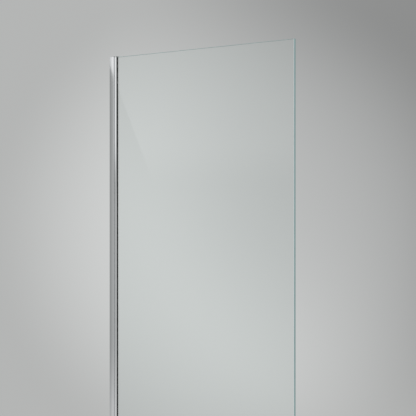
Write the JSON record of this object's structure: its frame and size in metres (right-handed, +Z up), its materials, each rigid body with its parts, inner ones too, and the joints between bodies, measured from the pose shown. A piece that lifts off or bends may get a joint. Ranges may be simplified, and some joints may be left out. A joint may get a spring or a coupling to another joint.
{
  "type": "bath screen",
  "caption": "Pivoting bath screen: a square clear glass pane in a round chrome profile that turns in a slim wall jamb, with black glazing gaskets and a drip seal.",
  "frame": {"origin": "on the wall plane, in the middle plane of the glass, at the bottom end of the wall channel, level with the bath rim", "axes": "+X from the wall along the glass, +Y into the bath, +Z up"},
  "size_m": [0.85, 0.0259, 1.5],
  "materials": {
    "chrome_jamb": "bright chrome-finished aluminium, mirror polish",
    "chrome_profile": "bright chrome-finished aluminium, mirror polish",
    "mill_aluminium": "plain drawn aluminium, hidden behind the jamb",
    "chrome_bracket": "polished die-cast plate",
    "stainless": "turned stainless steel",
    "chrome_cap": "chromed plastic cover",
    "black_nylon": "moulded black nylon",
    "white_acetal": "moulded white acetal",
    "black_rubber": "satin black rubber",
    "grey_seal": "soft grey seal",
    "clear_glass": "clear toughened glass, polished edges with a green cast",
    "clear_seal": "clear soft PVC"
  },
  "bodies": {
    "wall_frame": {"wall_channel": "mill_aluminium", "hinge_jamb": "chrome_jamb", "outer_wiper_seal": "grey_seal", "inner_wiper_seal": "grey_seal", "jamb_fixing_screws": "stainless", "screw_cap_bases": "black_nylon", "screw_cover_caps": "chrome_cap", "top_pivot_bracket": "chrome_bracket", "bottom_pivot_bracket": "chrome_bracket", "top_bracket_screws": "stainless", "bottom_bracket_screws": "stainless", "top_pivot_pin": "stainless", "bottom_pivot_pin": "stainless", "thrust_washer": "stainless"},
    "screen": {"pivot_profile": "chrome_profile", "top_pivot_plug": "black_nylon", "bottom_pivot_plug": "black_nylon", "top_pivot_bush": "white_acetal", "bottom_pivot_bush": "white_acetal", "outer_glazing_gasket": "black_rubber", "inner_glazing_gasket": "black_rubber", "glass_setting_blocks": "white_acetal", "glass_panel": "clear_glass", "bottom_seal_strip": "clear_seal"}
  },
  "joints": [
    {"name": "screen_swing", "type": "hinge", "parent": "wall_frame", "child": "screen", "pos_m": [0.0255, 0, 0], "axis": [0, 0, 1], "range_deg": [-90, 90]}
  ]
}
